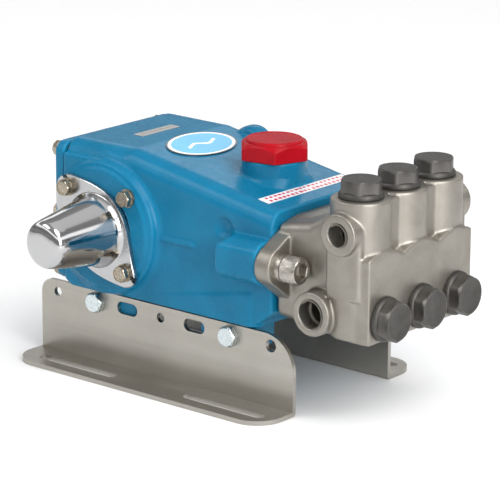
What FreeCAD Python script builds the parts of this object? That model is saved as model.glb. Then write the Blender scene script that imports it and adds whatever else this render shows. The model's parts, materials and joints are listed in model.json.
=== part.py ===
import FreeCAD, Part
import math
import os
import Sketcher
from FreeCAD import Placement, Rotation, Vector

# Triplex plunger pump on two slotted rails.
# Row frame: origin midway between the four base slots, on the underside of the rails, +Z up.
# Pump axes: the crank axis is the line X = 0, Z = 0, +X runs forward to the manifold, and the
# drive shaft leaves towards +Y. Every sub-part is drawn in pump axes and its Placement carries
# the pump axes to the row frame.

DIMENSIONS = [
    ("crank_x", -50.0, "crank axis from the row origin"),
    ("crank_height", 100.0, "crank axis above the underside of the rails"),
    ("pitch", 38.0, "distance between cylinders"),
    ("throw", 5.0, "crank throw, half the stroke"),
    ("crankpin_radius", 13.0, "crankpin"),
    ("pin_offset_gap", 0.05, "running clearance on the crankpins"),
    ("journal_radius", 12.5, "main journals"),
    ("shaft_radius", 10.0, "drive shaft"),
    ("seal_land", 10.5, "drive shaft where the lip seal runs"),
    ("shaft_end", 110.0, "drive shaft end from the mid plane"),
    ("web_radius", 19.5, "crank webs"),
    ("rod_length", 52.0, "connecting rod, pin to pin"),
    ("rod_width", 7.0, "connecting rod shank and small end"),
    ("big_end_width", 16.0, "connecting rod big end"),
    ("small_end_radius", 5.8, "connecting rod small end"),
    ("wrist_pin_radius", 3.2, "wrist pin"),
    ("bearing_radius", 26.0, "outer race of the main bearings"),
    ("bearing_width", 15.0, "main bearings"),
    ("bearing_face", 47.5, "inner face of the main bearings from the mid plane"),
    ("crosshead_radius", 13.5, "crosshead outside"),
    ("crosshead_bore", 11.7, "crosshead cup inside"),
    ("guide_radius", 13.55, "crosshead guide in the crankcase"),
    ("plunger_radius", 9.0, "ceramic plunger"),
    ("side_wall", 55.0, "crankcase side wall from the mid plane"),
    ("boss_face", 60.0, "round crank boss from the mid plane"),
    ("pad_face", 63.0, "machined pad on the crank boss from the mid plane"),
    ("flange_thick", 3.5, "flange of the shaft protector"),
    ("rear_face", -36.5, "crankcase rear face"),
    ("front_face", 140.0, "crankcase front face"),
    ("top_height", 54.5, "flat rear part of the crankcase top"),
    ("top_front", 33.0, "crankcase top at the front face"),
    ("roof_break", 18.0, "start of the sloping roof"),
    ("case_bottom", -46.0, "crankcase underside"),
    ("foot_bottom", -64.5, "underside of the feet"),
    ("foot_face", 49.0, "outside of the feet, against the rails"),
    ("rail_wall", 3.0, "rail sheet thickness"),
    ("rail_top", -47.7, "rail wall top edge"),
    ("rail_rear", -64.5, "rail rear end"),
    ("rail_front", 157.0, "rail front end"),
    ("flange_edge", 84.0, "rail flange outer edge from the mid plane"),
    ("slot_line", 70.5, "base slots from the mid plane"),
    ("slot_spacing", 128.0, "distance between base slot centres"),
    ("slot_length", 68.0, "base slots end to end"),
    ("slot_width", 7.5, "base slots"),
    ("bolt_line", -55.7, "rail bolts and spare holes"),
    ("rear_bolt", -12.8, "rear rail bolt"),
    ("front_bolt", 104.4, "front rail bolt"),
    ("stud_line", 59.0, "manifold screws from the mid plane"),
    ("stud_height", 1.0, "manifold screws"),
    ("flange_front", 152.0, "front of the manifold flange"),
    ("column_x", 198.6, "discharge valve columns"),
    ("column_radius", 19.3, "discharge valve columns"),
    ("column_top", 51.0, "top of the discharge valve columns"),
    ("block_front", 218.5, "front face of the lower block"),
    ("block_half", 54.4, "half width of the lower block"),
    ("inlet_height", -24.6, "inlet valves and inlet gallery"),
    ("inlet_x", 178.0, "inlet gallery"),
    ("outlet_height", 30.5, "discharge gallery"),
    ("port_face", 62.0, "port bosses from the mid plane"),
    ("inlet_radius", 9.6, "inlet port thread"),
    ("outlet_radius", 7.6, "discharge port thread"),
    ("valve_bore", 12.0, "valve chambers"),
    ("plug_flats", 24.5, "valve plug hexagon"),
    ("plug_flange", 14.6, "valve plug flange"),
    ("cap_x", 97.7, "oil filler"),
    ("cap_flats", 43.0, "oil filler cap hexagon"),
    ("neck_radius", 21.5, "oil filler neck"),
    ("neck_top", 53.4, "oil filler neck top"),
]


class Dim:
    """A length together with the spreadsheet expression that drives it."""

    def __init__(self, text, value):
        self.text = text
        self.value = value

    def join(self, sign, other, value, swapped=False):
        parts = [self.text, text_of(other)]
        if swapped:
            parts.reverse()
        return Dim("(%s %s %s)" % (parts[0], sign, parts[1]), value)

    def __add__(self, other):
        return self.join("+", other, self.value + value_of(other))

    def __radd__(self, other):
        return self + other

    def __sub__(self, other):
        return self.join("-", other, self.value - value_of(other))

    def __rsub__(self, other):
        return self.join("-", other, value_of(other) - self.value, swapped=True)

    def __mul__(self, other):
        return self.join("*", other, self.value * value_of(other))

    def __rmul__(self, other):
        return self * other

    def __truediv__(self, other):
        return self.join("/", other, self.value / value_of(other))

    def __neg__(self):
        return self * -1.0


def text_of(item):
    return item.text if isinstance(item, Dim) else "(%s)" % repr(float(item))


def value_of(item):
    return item.value if isinstance(item, Dim) else float(item)


doc = FreeCAD.newDocument("plunger_pump")
sheet = doc.addObject("Spreadsheet::Sheet", "Dimensions")
size = {}
for row, (alias, number, note) in enumerate(DIMENSIONS, start=1):
    sheet.set("A%d" % row, alias)
    sheet.set("B%d" % row, str(number))
    sheet.setAlias("B%d" % row, alias)
    sheet.set("C%d" % row, note)
    size[alias] = Dim("Dimensions." + alias, number)
doc.recompute()

X, Y, Z = Vector(1, 0, 0), Vector(0, 1, 0), Vector(0, 0, 1)
CYLINDERS = (-1, 0, 1)
SIDES = (("near", -1), ("far", 1))
subparts = []


def read(alias):
    """The sheet's own number, for shapes that are set with Part functions."""
    return float(sheet.get(alias))


def bind(item, name, amount):
    """Set a property, by expression where the amount comes from the sheet."""
    if isinstance(amount, Dim):
        item.setExpression(name, amount.text)
    else:
        setattr(item, name, amount)


def place(item, at, direction=Z, spin=0.0):
    """Put local Z along direction, with the base point in pump axes bound to the sheet."""
    turn = Rotation(Z, direction) * Rotation(Z, spin)
    item.Placement = Placement(Vector(*[value_of(a) for a in at]), turn)
    anchor = (size["crank_x"], 0.0, size["crank_height"])
    for letter, own, base in zip("xyz", at, anchor):
        item.setExpression(".Placement.Base." + letter, (base + own).text if isinstance(base, Dim)
                           else text_of(own))
    return item


def keep(item, label):
    """Register a document object as the sub-part called label."""
    item.Label = label
    subparts.append(item)
    return item


def cylinder(name, radius, height, at, direction=Z):
    item = doc.addObject("Part::Cylinder", name)
    bind(item, "Radius", radius)
    bind(item, "Height", height)
    return place(item, at, direction)


def cone(name, radius, tip_radius, height, at, direction=Z):
    item = doc.addObject("Part::Cone", name)
    bind(item, "Radius1", radius)
    bind(item, "Radius2", tip_radius)
    bind(item, "Height", height)
    return place(item, at, direction)


def block(name, sizes, at):
    item = doc.addObject("Part::Box", name)
    for edge, amount in zip(("Length", "Width", "Height"), sizes):
        bind(item, edge, amount)
    return place(item, at)


def hexagon(name, flats, height, at, direction=Z, spin=0.0):
    item = doc.addObject("Part::Prism", name)
    item.Polygon = 6
    bind(item, "Circumradius", flats / math.sqrt(3.0))
    bind(item, "Height", height)
    return place(item, at, direction, spin)


def fuse(name, shapes):
    item = doc.addObject("Part::MultiFuse", name)
    item.Shapes = shapes
    item.Refine = True
    return item


def cut(name, base, tool):
    item = doc.addObject("Part::Cut", name)
    item.Base = base
    item.Tool = tool
    return item


def common(name, base, tool):
    item = doc.addObject("Part::Common", name)
    item.Base = base
    item.Tool = tool
    return item


def group(name, items):
    """Separate solids that share one node."""
    item = doc.addObject("Part::Compound", name)
    item.Links = items
    return item


def profile_sketch(body, role, points):
    """A closed outline in one of the body's own planes, each corner bound to the sheet."""
    sketch = body.newObject("Sketcher::SketchObject", body.Name + "_outline")
    plane = [f for f in body.Origin.OriginFeatures if f.Role == role][0]
    sketch.AttachmentSupport = (plane, "")
    sketch.MapMode = "FlatFace"
    corners = [Vector(value_of(p[0]), value_of(p[1]), 0) for p in points]
    count = len(points)
    for i in range(count):
        sketch.addGeometry(Part.LineSegment(corners[i], corners[(i + 1) % count]), False)
    for i in range(count):
        sketch.addConstraint(Sketcher.Constraint("Coincident", i, 2, (i + 1) % count, 1))
    for i, point in enumerate(points):
        for kind, amount in zip(("DistanceX", "DistanceY"), point):
            number = sketch.addConstraint(Sketcher.Constraint(kind, i, 1, value_of(amount)))
            if isinstance(amount, Dim):
                sketch.setExpression("Constraints[%d]" % number, amount.text)
    return sketch


def turned(name, points, at, direction=Z):
    """A turned piece: (radius, height) points revolved about the local Z axis."""
    body = doc.addObject("PartDesign::Body", name)
    sketch = profile_sketch(body, "XZ_Plane", points)
    revolution = body.newObject("PartDesign::Revolution", name + "_turn")
    revolution.Profile = sketch
    revolution.ReferenceAxis = (sketch, ["V_Axis"])
    revolution.Angle = 360.0
    return place(body, at, direction)


def ring(name, inner, outer, height, at, direction=Z):
    return turned(name, [(inner, 0.0), (outer, 0.0), (outer, height), (inner, height)], at, direction)


def feature(label, shape):
    """A casting or spring whose shape is drawn here in pump axes from the sheet's numbers."""
    item = doc.addObject("Part::Feature", label)
    item.Shape = Part.makeCompound([shape])
    place(item, (0.0, 0.0, 0.0))
    return keep(item, label)


def lane(index):
    """Distance of a cylinder's axis from the mid plane."""
    return size["pitch"] * float(index)


def rod(radius, start, end, at_a, at_b, axis=Y):
    """A plain cylinder from start to end along axis, for the castings."""
    if axis == Y:
        base = Vector(at_a, start, at_b)
    elif axis == X:
        base = Vector(start, at_a, at_b)
    else:
        base = Vector(at_a, at_b, start)
    return Part.makeCylinder(radius, end - start, base, axis)


def slab(x0, x1, y0, y1, z0, z1):
    return Part.makeBox(x1 - x0, y1 - y0, z1 - z0, Vector(x0, y0, z0))


def side_prism(outline, y0, y1):
    """An XZ outline carried from y0 to y1."""
    wire = Part.makePolygon([Vector(x, y0, z) for x, z in outline + outline[:1]])
    return Part.Face(wire).extrude(Vector(0, y1 - y0, 0))


def front_prism(outline, x0, x1):
    """A YZ outline carried from x0 to x1."""
    wire = Part.makePolygon([Vector(x0, y, z) for y, z in outline + outline[:1]])
    return Part.Face(wire).extrude(Vector(x1 - x0, 0, 0))


def round_edges(shape, radius, wanted):
    """Fillet the straight or round edges that the test picks out."""
    edges = [edge for edge in shape.Edges if wanted(edge)]
    return shape.makeFillet(radius, edges)


def along(edge, axis):
    """True for a straight edge that runs along axis."""
    if not isinstance(edge.Curve, Part.Line):
        return False
    return abs(edge.Curve.Direction.dot(axis)) > 0.999


def rounded_square(half, corner, y0, y1):
    """A square plate on the crank axis, its four edges along Y rounded."""
    plate = slab(-half, half, min(y0, y1), max(y0, y1), -half, half)
    return round_edges(plate, corner, lambda edge: along(edge, Y))


# ---------------------------------------------------------------- crankcase casting

PLINTH_SLOPE = math.tan(math.radians(11.0))
SCREW_CIRCLE = 25.2
COVER_SCREWS = [(side * 50.0, height) for side in (-1, 1) for height in (-38.0, 2.0, 45.0)]


def case_hull():
    """Outer body: a wedge seen from the side, slightly narrower towards the manifold."""
    rear, front = read("rear_face"), read("front_face")
    top, top_front, bottom = read("top_height"), read("top_front"), read("case_bottom")
    wall = read("side_wall")
    outline = [(rear, bottom), (front - 12, bottom + 3), (front, bottom + 12), (front, top_front),
               (read("roof_break"), top), (rear, top)]
    body = side_prism(outline, -wall - 4, wall + 4)
    plan = [(rear, -wall - 1), (front, -wall + 1), (front, wall - 1), (rear, wall + 1)]
    wire = Part.makePolygon([Vector(x, y, bottom - 1) for x, y in plan + plan[:1]])
    body = body.common(Part.Face(wire).extrude(Vector(0, 0, top - bottom + 2)))
    upper = [edge for edge in body.Edges
             if edge.BoundBox.ZMin > top_front - 1 and abs(edge.CenterOfMass.y) > wall - 3
             and edge.BoundBox.XLength > 20]
    body = body.makeFillet(12.0, upper)
    return body


def crank_boss(side):
    """Round boss for a main bearing: a turned pad on a flared root, squared towards the rear."""
    wall, face, pad = read("side_wall"), read("boss_face"), read("pad_face")
    rear, top, bottom = read("rear_face"), read("top_height"), read("case_bottom")
    inner = wall - 7
    y0, y1 = sorted((side * inner, side * pad))
    clip = slab(rear, 60, y0, y1, bottom, top)
    profile = [(0.0, inner), (50.5, inner), (50.5, wall - 0.4), (48.2, wall + 0.3),
               (46.4, wall + 1.6), (45.4, wall + 3.4), (45.0, face + 0.4), (44.2, face + 1.2),
               (41.6, face + 1.3), (40.8, pad - 0.6), (39.8, pad), (0.0, pad)]
    wire = Part.makePolygon([Vector(r, side * y, 0) for r, y in profile + profile[:1]])
    boss = Part.Face(wire).revolve(Vector(0, 0, 0), Y, 360)
    y0, y1 = sorted((side * inner, side * (face - 0.6)))
    shoulder = side_prism([(rear, -42.0), (rear + 6, bottom), (0.0, bottom), (0.0, 46.0),
                           (rear, 46.0)], y0, y1)
    return boss.fuse(shoulder).common(clip).removeSplitter()


def foot(x0, x1, side):
    """One foot of the crankcase, drilled for its rail bolt."""
    bottom, low, face = read("case_bottom"), read("foot_bottom"), read("foot_face")
    y0, y1 = sorted((side * (face - 19.0), side * face))
    body = slab(x0, x1, y0, y1, low, bottom + 4)
    return round_edges(body, 7.0, lambda edge: along(edge, Y) and edge.BoundBox.ZMax < low + 1)


def stud_boss(side):
    """Half-round boss along the side that takes a manifold screw."""
    line, height, front = read("stud_line"), read("stud_height"), read("front_face")
    boss = rod(14.5, 106.0, front, side * line, height, X)
    boss = round_edges(boss, 3.0, lambda edge: edge.BoundBox.XMax < 106.5)
    y0, y1 = sorted((side * 40.0, side * (line + 11.5)))
    boss = boss.common(slab(106.0, front, y0, y1, height - 15, height + 15))
    y0, y1 = sorted((side * 40.0, side * line))
    return boss.fuse(slab(106.0, front, y0, y1, height - 14.5, height + 14.5))


def side_scoop(side):
    """Shallow pocket in the side wall just above and behind the stud boss."""
    ball = Part.makeSphere(11.0, Vector(101.0, side * (read("side_wall") + 7.2), 16.5))
    below = slab(80, 120, -80, 80, -20, 12.5 - 1.5)
    return ball.cut(below)


def crankcase_shape():
    wall, front, rear = read("side_wall"), read("front_face"), read("rear_face")
    bottom, top = read("case_bottom"), read("top_height")
    pitch = read("pitch")
    body = case_hull()
    pieces = []
    for side in (-1, 1):
        pieces.append(crank_boss(side))
        pieces.append(foot(rear, 20.0, side))
        pieces.append(foot(76.0, 124.0, side))
        pieces.append(stud_boss(side))
        y0, y1 = sorted((side * (wall - 6), side * (wall + 1.6)))
        pieces.append(round_edges(slab(42, 76, y0, y1, -1.6, 1.6), 1.4,
                                  lambda edge: along(edge, X)))
    plinth = side_prism([(-20, bottom), (12, bottom + 1), (129, bottom + 1 + 117 * PLINTH_SLOPE),
                         (129, bottom)], -wall - 0.5, wall + 0.5)
    plinth = round_edges(plinth, 9.0, lambda edge: along(edge, Z) and edge.BoundBox.XMin > 100)
    pieces.append(plinth)
    neck = rod(read("neck_radius"), 20.0, read("neck_top"), read("cap_x"), 0, Z)
    pieces.append(neck)
    flare = Part.makeCone(read("neck_radius") + 5, read("neck_radius"), 7.0,
                          Vector(read("cap_x"), 0, 36.0), Z)
    pieces.append(flare.common(slab(60.0, 118.8, -30, 30, 30, 50)))
    lug = rod(15.0, wall - 14, wall + 1, 40.0, 42.0)
    pieces.append(round_edges(lug, 5.0, lambda edge: isinstance(edge.Curve, Part.Circle)))
    body = body.fuse(pieces)
    hollow = [slab(rear - 1, 38, -46.4, 46.4, bottom + 7, top - 7)]
    hollow.append(slab(36, 92, -36, 36, 16, 27))
    hollow.append(rod(17.4, 15.0, read("neck_top") + 1, read("cap_x"), 0, Z))
    hollow.append(rod(read("bearing_radius"), -read("pad_face") - 1, read("pad_face") + 1, 0, 0))
    for side in (-1, 1):
        hollow.append(side_scoop(side))
    hollow.append(slab(-26, front - 24, -29, 29, bottom - 25, bottom))
    for index in CYLINDERS:
        y = index * pitch
        hollow.append(rod(read("guide_radius"), 30, 100, y, 0, X))
        hollow.append(rod(9.0, 99, front + 1, y, 0, X))
        hollow.append(rod(13.0, front - 11, front + 1, y, 0, X))
    for side in (-1, 1):
        for x in (read("rear_bolt"), read("front_bolt")):
            y0, y1 = sorted((side * 28.0, side * 50.0))
            hollow.append(rod(4.0, y0, y1, x, read("bolt_line")))
        hollow.append(rod(6.0, 109, front + 1, side * read("stud_line"), read("stud_height"), X))
        for x in (-SCREW_CIRCLE, SCREW_CIRCLE):
            for z in (-SCREW_CIRCLE, SCREW_CIRCLE):
                y0, y1 = sorted((side * 45.5, side * 64.0))
                hollow.append(rod(3.0, y0, y1, x, z))
    for y, z in COVER_SCREWS:
        hollow.append(rod(3.0, rear - 1, rear + 13, y, z, X))
    for tool in hollow:
        body = body.cut(tool)
    return body.removeSplitter()


# ---------------------------------------------------------------- manifold casting

def manifold_shape():
    front = read("front_face")
    ear, height = read("stud_line"), read("stud_height")
    pitch, column_x, radius = read("pitch"), read("column_x"), read("column_radius")
    top, block_front, block_half = read("column_top"), read("block_front"), read("block_half")
    inlet_x, inlet_z, outlet_z = read("inlet_x"), read("inlet_height"), read("outlet_height")
    flange = front_prism([(-ear - 8, height + 10), (-40, 26), (-30, 28), (30, 28), (40, 26),
                          (ear + 8, height + 10), (ear + 8, height - 10), (34, -34), (-34, -34),
                          (-ear - 8, height - 10)], front, read("flange_front"))
    pieces = [rod(13.0, front, read("flange_front"), side * ear, height, X) for side in (-1, 1)]
    neck = side_prism([(front + 2, -36), (192, -39), (192, 40), (184, 40), (166, 30),
                       (front + 2, 26)], -49.7, 49.7)
    pieces.append(round_edges(neck, 6.0, lambda edge: edge.BoundBox.YLength < 0.1
                              and edge.BoundBox.XLength > 15))
    pieces.append(slab(184, 211, -pitch - 8, pitch + 8, -37, top - 2))
    for index in CYLINDERS:
        pieces.append(rod(radius, -38.0, top, column_x, index * pitch, Z))
        arch = rod(40.0, 207.0, block_front, index * pitch, -21.0, X)
        near_side = max((index - 0.5) * pitch, -block_half)
        far_side = min((index + 0.5) * pitch, block_half)
        pieces.append(arch.common(slab(207, block_front, near_side, far_side, -39, 20)))
        pieces.append(slab(207, block_front, near_side, far_side, -39, -15))
    lower = slab(190, block_front, -block_half, block_half, -39.5, -9.5)
    pieces.append(round_edges(lower, 3.5, lambda edge: along(edge, Z)))
    for side in (-1, 1):
        y0, y1 = sorted((side * 40.0, side * read("port_face")))
        pieces.append(rod(14.5, y0, y1, inlet_x, inlet_z))
        pieces.append(rod(13.6, y0, y1, column_x, outlet_z))
        y0, y1 = sorted((side * 40.0, side * (read("port_face") - 5)))
        pedestal = slab(column_x - 13.6, column_x + 13.6, y0, y1, -12, outlet_z)
        pieces.append(round_edges(pedestal, 3.0, lambda edge: along(edge, Z)))
    body = flange.fuse(pieces)
    hollow = []
    gallery = read("port_face") + 1
    hollow.append(rod(8.0, -gallery, gallery, inlet_x, inlet_z))
    hollow.append(rod(6.4, -gallery, gallery, column_x, outlet_z))
    for side in (-1, 1):
        y0, y1 = sorted((side * (gallery - 12.4), side * gallery))
        hollow.append(rod(read("inlet_radius"), y0, y1, inlet_x, inlet_z))
        hollow.append(rod(read("outlet_radius"), y0, y1, column_x, outlet_z))
        hollow.append(rod(6.4, front - 1, front + 13, side * ear, height, X))
    for index in CYLINDERS:
        y = index * pitch
        hollow.append(rod(13.4, front - 1, front + 11, y, 0, X))
        hollow.append(rod(9.8, front + 10, column_x, y, 0, X))
        hollow.append(rod(7.0, inlet_z, 14.0, column_x, y, Z))
        hollow.append(rod(7.0, inlet_x, 190.0, y, inlet_z, X))
        hollow.append(rod(read("valve_bore"), 187.0, block_front + 1, y, inlet_z, X))
        hollow.append(rod(read("valve_bore"), 12.0, top + 1, column_x, y, Z))
    for tool in hollow:
        body = body.cut(tool)
    return body.removeSplitter()


# ---------------------------------------------------------------- rails

def rail(label, side):
    """Bent sheet rail: an upright wall and an outward foot flange, punched for bolts."""
    inner = size["foot_face"] * float(side)
    outer = (size["foot_face"] + size["rail_wall"]) * float(side)
    edge = size["flange_edge"] * float(side)
    floor = -size["crank_height"]
    body = doc.addObject("PartDesign::Body", label)
    section = [(inner, floor), (edge, floor), (edge, floor + size["rail_wall"]),
               (outer, floor + size["rail_wall"]), (outer, size["rail_top"]),
               (inner, size["rail_top"])]
    sketch = profile_sketch(body, "YZ_Plane", section)
    pad = body.newObject("PartDesign::Pad", label + "_sheet")
    pad.Profile = sketch
    bind(pad, "Length", size["rail_front"] - size["rail_rear"])
    sketch.AttachmentOffset.Base = Vector(0, 0, 0)
    sketch.setExpression(".AttachmentOffset.Base.z", size["rail_rear"].text)
    doc.recompute()
    round_corners(body, label)
    punch(body, label + "_wall_holes", "XZ_Plane", wall_holes(), size["foot_face"] * 2.0)
    punch(body, label + "_base_slots", "XY_Plane", base_slots(side), size["crank_height"] * 2.2)
    place(body, (0.0, 0.0, 0.0))
    return keep(body, label)


def round_corners(body, label):
    """Round the bend and the free corners of the rail, one fillet feature for each radius."""
    flange = read("flange_edge") - 1

    def is_bend(e):
        return along(e, X) and abs(abs(e.CenterOfMass.y) - read("foot_face")) < 0.1 \
            and e.CenterOfMass.z < -read("crank_height") + 0.1

    def is_rear_top(e):
        return along(e, Y) and e.CenterOfMass.z > read("rail_top") - 1 and e.CenterOfMass.x < 0

    def is_front_top(e):
        return along(e, Y) and e.CenterOfMass.z > read("rail_top") - 1 and e.CenterOfMass.x > 0

    def is_flange_corner(e):
        return along(e, Z) and abs(e.CenterOfMass.y) > flange and e.Length < 10

    jobs = [("bend", 2.9, is_bend), ("rear_top", 10.0, is_rear_top),
            ("front_top", 24.0, is_front_top), ("flange", 20.0, is_flange_corner)]
    for name, radius, test in jobs:
        base = body.Tip
        names = ["Edge%d" % (i + 1) for i, e in enumerate(base.Shape.Edges) if test(e)]
        rounding = body.newObject("PartDesign::Fillet", label + "_" + name)
        rounding.Base = (base, names)
        rounding.Radius = radius
        doc.recompute()


def wall_holes():
    """Bolt holes, spare round holes and adjustment slots in the rail wall: (x, length, width)."""
    bolt, spare, slot = 8.6, 6.6, 18.0
    return [(-49.5, spare, spare), (read("rear_bolt"), bolt, bolt), (14.2, slot, bolt),
            (43.9, spare, spare), (73.3, slot, bolt), (read("front_bolt"), bolt, bolt),
            (138.4, bolt, bolt)]


def base_slots(side):
    return [(size["slot_line"] * float(side), end) for end in (-1.0, 1.0)]


def punch(body, name, role, holes, depth):
    """A symmetric pocket with a round or slotted opening for each hole."""
    sketch = body.newObject("Sketcher::SketchObject", name + "_outline")
    plane = [f for f in body.Origin.OriginFeatures if f.Role == role][0]
    sketch.AttachmentSupport = (plane, "")
    sketch.MapMode = "FlatFace"
    for hole in holes:
        if role == "XZ_Plane":
            x, length, width = hole
            obround(sketch, x, read("bolt_line"), length, width)
        else:
            line, end = hole
            middle = -read("crank_x") + end * read("slot_spacing") / 2
            obround(sketch, middle, line.value, read("slot_length"), read("slot_width"))
    pocket = body.newObject("PartDesign::Pocket", name)
    pocket.Profile = sketch
    pocket.Midplane = True
    bind(pocket, "Length", depth * 1.1)
    doc.recompute()


def obround(sketch, x, z, length, width):
    """A hole of the given width whose ends are half circles, long along the first axis."""
    radius = width / 2
    half = length / 2 - radius
    if half < 0.01:
        sketch.addGeometry(Part.Circle(Vector(x, z, 0), Z, radius), False)
        return
    right = Part.Circle(Vector(x + half, z, 0), Z, radius)
    left = Part.Circle(Vector(x - half, z, 0), Z, radius)
    sketch.addGeometry(Part.ArcOfCircle(right, -math.pi / 2, math.pi / 2), False)
    sketch.addGeometry(Part.LineSegment(Vector(x + half, z + radius, 0),
                                        Vector(x - half, z + radius, 0)), False)
    sketch.addGeometry(Part.ArcOfCircle(left, math.pi / 2, 3 * math.pi / 2), False)
    sketch.addGeometry(Part.LineSegment(Vector(x - half, z - radius, 0),
                                        Vector(x + half, z - radius, 0)), False)


# ---------------------------------------------------------------- fasteners

def hex_screw(name, flats, head, shank, length, at, direction, spin=0.0):
    """A hexagon head screw: at is under the head, direction points out of the head."""
    raw = hexagon(name + "_hex", flats, head, at, direction, spin)
    crown = turned(name + "_crown", [(0.0, -1.0), (flats * 0.62, -1.0), (flats * 0.62, head * 0.72),
                                     (flats * 0.44, head), (0.0, head)], at, direction)
    top = common(name + "_head", raw, crown)
    reverse = direction * -1.0
    stem = cylinder(name + "_shank", shank, length, at, reverse)
    return fuse(name, [top, stem])


def socket_screw(name, at, direction):
    """An M12 socket head cap screw."""
    head = turned(name + "_head", [(0.0, 0.0), (9.0, 0.0), (9.0, 11.2), (8.2, 12.0), (0.0, 12.0)],
                  at, direction)
    stem = cylinder(name + "_shank", 5.9, 42.0, at, direction * -1.0)
    body = fuse(name + "_body", [head, stem])
    recess_at = tuple(a + 5.5 * d for a, d in zip(at, direction))
    recess = hexagon(name + "_recess", 10.0, 8.0, recess_at, direction)
    return cut(name, body, recess)


def valve_plug(name, at, direction):
    """A valve plug: hexagon head, round flange and threaded shank."""
    head_at = tuple(a + 4.0 * d for a, d in zip(at, direction))
    raw = hexagon(name + "_hex", size["plug_flats"], 8.0, head_at, direction, 30.0)
    crown = turned(name + "_crown", [(0.0, -1.0), (15.0, -1.0), (15.0, 4.0), (12.4, 8.0),
                                     (0.0, 8.0)], head_at, direction)
    head = common(name + "_head", raw, crown)
    flange = size["plug_flange"]
    stem = turned(name + "_stem", [(0.0, -10.0), (8.0, -10.0), (11.0, -9.0), (11.9, -7.5),
                                   (11.9, 0.0), (flange, 0.0), (flange, 2.6),
                                   (flange - 1.4, 4.2), (0.0, 4.2)], at, direction)
    return fuse(name, [head, stem])


# ---------------------------------------------------------------- crankcase and covers

def crankcase_parts():
    feature("crankcase", crankcase_shape())
    rear = size["rear_face"]
    gasket_outer = block("gasket_plate", (0.8, 107.0, 92.0), (rear - 0.8, -53.5, -43.0))
    gasket_hole = block("gasket_window", (3.0, 92.0, 82.0), (rear - 2.0, -46.0, -37.0))
    gasket = cut("gasket_open", gasket_outer, gasket_hole)
    holes = [cylinder("gasket_hole_%d" % i, 3.0, 4.0, (rear - 3.0, y, z), X)
             for i, (y, z) in enumerate(COVER_SCREWS)]
    keep(cut("gasket", gasket, fuse("gasket_holes", holes)), "rear_cover_gasket")
    feature("rear_cover", rear_cover_shape())
    screws = [hex_screw("cover_screw_%d" % i, 10.0, 4.5, 2.9, 18.0, (rear - 9.3, y, z), -X)
              for i, (y, z) in enumerate(COVER_SCREWS)]
    keep(group("rear_cover_screw_set", screws), "rear_cover_screws")
    glass = cylinder("glass", 9.4, 2.8, (rear - 18.8, 0.0, -2.0), X)
    keep(glass, "oil_sight_glass")
    bezel = turned("bezel", [(9.6, 0.0), (12.5, 0.0), (13.2, 1.0), (13.2, 5.0), (11.2, 5.0),
                             (11.2, 11.0), (8.0, 11.0), (8.0, 3.4), (9.6, 3.4)],
                   (rear - 19.3, 0.0, -2.0), X)
    keep(bezel, "sight_glass_bezel")
    drain = hex_screw("drain", 14.0, 7.0, 6.9, 9.0, (rear - 14.3, 0.0, -31.0), -X)
    keep(drain, "oil_drain_plug")


def rear_cover_shape():
    """A dished cover with a raised middle that holds the sight glass and the drain plug."""
    rear = read("rear_face") - 0.8
    plate = slab(rear - 8.5, rear, -58, 58, -44, 52)
    plate = round_edges(plate, 8.0, lambda edge: along(edge, X))
    plate = round_edges(plate, 2.5, lambda edge: abs(edge.CenterOfMass.x - rear + 8.5) < 0.1)
    dome = slab(rear - 13.5, rear - 1, -42, 42, -40.5, 38)
    dome = round_edges(dome, 12.0, lambda edge: along(edge, X))
    dome = round_edges(dome, 4.5, lambda edge: abs(edge.CenterOfMass.x - rear + 13.5) < 0.1)
    cover = plate.fuse(dome)
    cover = cover.cut(round_edges(slab(rear - 8.5, rear + 1, -37, 37, -25, 33), 8.0,
                                  lambda edge: along(edge, X)))
    cover = cover.cut(rod(11.25, rear - 20, rear + 1, 0, -2, X))
    cover = cover.cut(rod(7.0, rear - 20, rear + 1, 0, -31, X))
    for y, z in COVER_SCREWS:
        cover = cover.cut(rod(3.0, rear - 20, rear + 1, y, z, X))
    return cover.removeSplitter()


def protector_parts():
    """Polished cone over the idle end of the crankshaft, on a thin two-eared flange."""
    feature("shaft_protector", protector_shape())
    washers, screws = [], []
    for i, (x, z) in enumerate([(x * SCREW_CIRCLE, z * SCREW_CIRCLE) for x in (-1, 1)
                                for z in (-1, 1)]):
        lift = size["pad_face"] + size["flange_thick"] if x * z < 0 else size["pad_face"]
        washers.append(ring("protector_washer_%d" % i, 3.2, 6.2, 1.2, (x, lift * -1.0, z), -Y))
        screws.append(hex_screw("protector_screw_%d" % i, 10.0, 5.0, 2.9, 17.0,
                                (x, (lift + 1.2) * -1.0, z), -Y, 15.0))
    keep(group("protector_washer_set", washers), "protector_washers")
    keep(group("protector_screw_set", screws), "protector_screws")


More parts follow.
